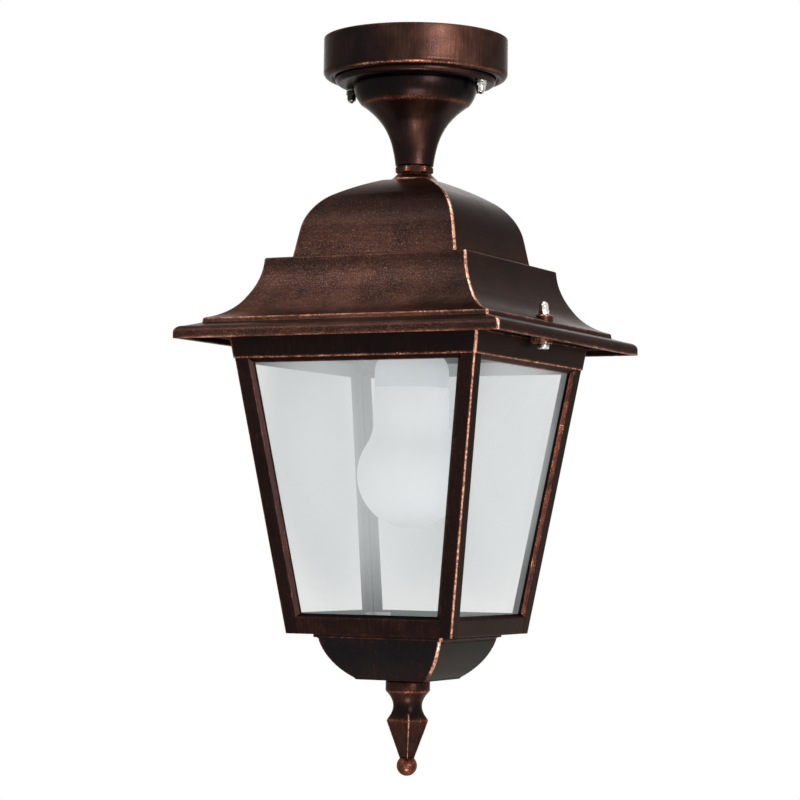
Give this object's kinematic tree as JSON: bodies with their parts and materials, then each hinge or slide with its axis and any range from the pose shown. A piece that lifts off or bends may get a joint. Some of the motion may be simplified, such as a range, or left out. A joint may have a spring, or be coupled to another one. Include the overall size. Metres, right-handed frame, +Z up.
{
  "type": "porch ceiling lantern",
  "caption": "Square tapered porch lantern on a trumpet stem and round canopy, with glazed cage, two-tier roof, finial and screw-in lamp; the cage drops for relamping.",
  "frame": {"origin": "centre of the ceiling plane, in the middle of the two ceiling slots", "axes": "+Z up into the ceiling, the lantern hangs down -Z; the glazed faces look along -Y (front), +X (right), +Y (back) and -X (left); the two roof fixings stand on the X axis"},
  "size_m": [0.195, 0.195, 0.413],
  "materials": {
    "antique_bronze": "hand-rubbed antique copper over near-black brown, worn bright at the edges",
    "zinc_steel": "zinc plated, satin",
    "polished_nickel": "bright nickel plate",
    "brass": "plain machined brass",
    "block_plastic": "moulded, satin",
    "black_insulator": "vitrified black insulator",
    "white_ceramic": "white glaze",
    "seal_rubber": "black, matt",
    "clear_glass": "float glass with a faint grey veil",
    "white_housing": "white moulding",
    "opal_glass": "opal white, satin"
  },
  "bodies": {
    "ceiling_mount": {"ceiling_strap": "zinc_steel", "canopy": "antique_bronze", "trumpet_stem": "antique_bronze", "canopy_screws": "zinc_steel", "canopy_screw_nuts": "zinc_steel", "canopy_cap_nuts": "polished_nickel", "canopy_washers": "zinc_steel", "threaded_nipple": "zinc_steel", "earth_washer": "zinc_steel", "nipple_top_nut": "zinc_steel", "stem_lock_nut": "antique_bronze", "roof_cup_washer": "antique_bronze", "roof_clamp_washer": "zinc_steel", "roof_clamp_nut": "zinc_steel", "terminal_block": "block_plastic", "terminal_clamps": "brass", "terminal_clamp_screws": "brass", "terminal_fixing_screw": "zinc_steel"},
    "roof_head": {"roof_crown": "antique_bronze", "roof_skirt": "antique_bronze", "roof_brim": "antique_bronze", "lampholder_strap": "zinc_steel", "lampholder_body": "white_ceramic", "lampholder_shell": "brass", "lampholder_contact": "brass", "lampholder_screws": "zinc_steel", "strap_screws": "zinc_steel", "roof_washers": "polished_nickel"},
    "cap_nut_left": {"cap_nut_left": "polished_nickel"},
    "cap_nut_right": {"cap_nut_right": "polished_nickel"},
    "lantern_cage": {"cage_frame": "antique_bronze", "cage_lugs": "antique_bronze", "glass_pane_front": "clear_glass", "glass_pane_right": "clear_glass", "glass_pane_back": "clear_glass", "glass_pane_left": "clear_glass", "glass_clips": "zinc_steel", "glass_clip_screws": "zinc_steel", "rim_seal": "seal_rubber", "roof_screws": "polished_nickel", "roof_screw_washers": "polished_nickel", "bottom_cup": "antique_bronze", "cup_screws": "zinc_steel", "finial": "antique_bronze", "finial_stud": "zinc_steel", "finial_washer": "zinc_steel", "finial_nut": "zinc_steel"},
    "lamp": {"lamp_globe": "opal_glass", "lamp_housing": "white_housing", "lamp_cap": "polished_nickel", "lamp_insulator": "black_insulator", "lamp_contact": "brass"}
  },
  "joints": [
    {"name": "stem_swivel", "type": "hinge", "parent": "ceiling_mount", "child": "roof_head", "pos_m": [0, 0, -0.0804], "axis": [0, 0, 1], "range_deg": [-175, 175]},
    {"name": "cage_drop", "type": "slide", "parent": "roof_head", "child": "lantern_cage", "axis": [0, 0, -1], "range_m": [0, 0.18]},
    {"name": "lamp_unscrew", "type": "slide", "parent": "roof_head", "child": "lamp", "axis": [0, 0, -1], "range_m": [0, 0.028]},
    {"name": "cap_nut_left_turn", "type": "hinge", "parent": "roof_head", "child": "cap_nut_left", "pos_m": [-0.0802, 0, -0.1577], "axis": [0, 0, 1], "continuous": true},
    {"name": "cap_nut_right_turn", "type": "hinge", "parent": "roof_head", "child": "cap_nut_right", "pos_m": [0.0802, 0, -0.1577], "axis": [0, 0, 1], "continuous": true}
  ]
}
